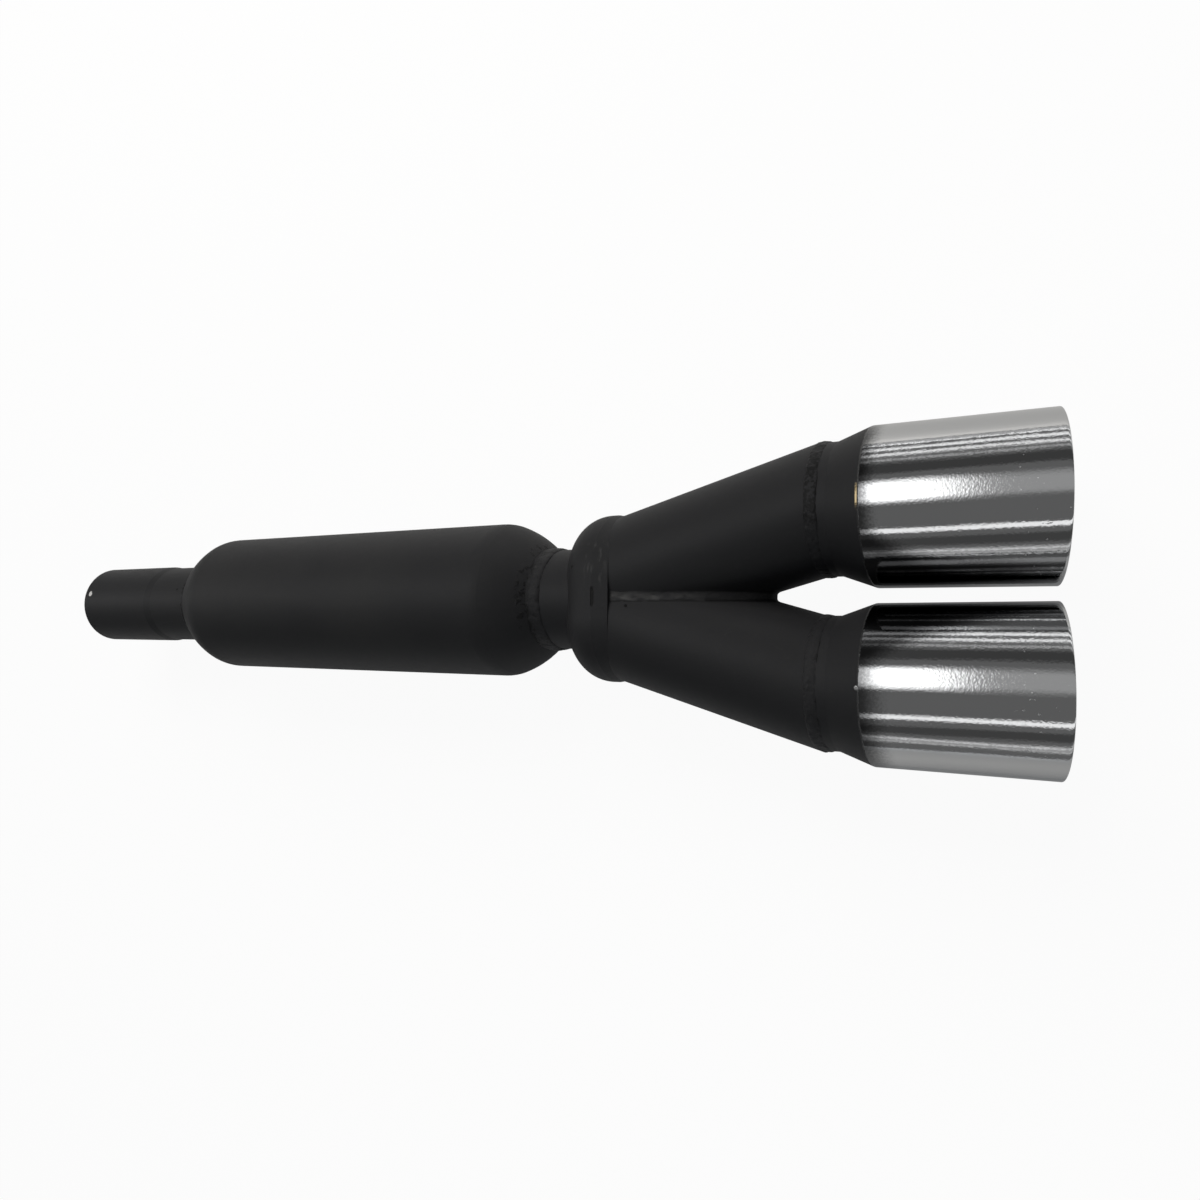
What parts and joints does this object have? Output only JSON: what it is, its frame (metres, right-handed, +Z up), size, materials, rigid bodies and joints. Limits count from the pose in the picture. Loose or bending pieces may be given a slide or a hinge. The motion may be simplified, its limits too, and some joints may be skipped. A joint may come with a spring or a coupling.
{
  "type": "twin tip exhaust silencer",
  "caption": "Straight-through exhaust resonator whose outlet forks into two branches with slanted chrome tips; the swaged inlet slips over the car's exhaust pipe.",
  "frame": {"origin": "centre of the inlet mouth, on the pipe axis", "axes": "+X with the gas flow towards the tips, +Z up, the two tips side by side along Y"},
  "size_m": [0.6666, 0.1612, 0.088],
  "materials": {
    "black_paint": "satin black heat paint",
    "painted_weld": "satin black paint over a rough weld bead",
    "chrome": "bright chrome, with the collar and cone painted satin black",
    "core_steel": "bare steel",
    "glass_wool": "glass wool"
  },
  "bodies": {
    "root": {"inlet_pipe": "black_paint", "resonator_shell": "black_paint", "splitter_cup": "black_paint", "left_branch": "black_paint", "right_branch": "black_paint", "inlet_weld": "painted_weld", "neck_weld": "painted_weld", "cup_weld": "painted_weld", "crotch_weld": "painted_weld", "left_tip_weld": "painted_weld", "right_tip_weld": "painted_weld", "left_tip": "chrome", "right_tip": "chrome", "perforated_core": "core_steel", "outlet_pipe": "core_steel", "packing": "glass_wool"}
  },
  "joints": []
}
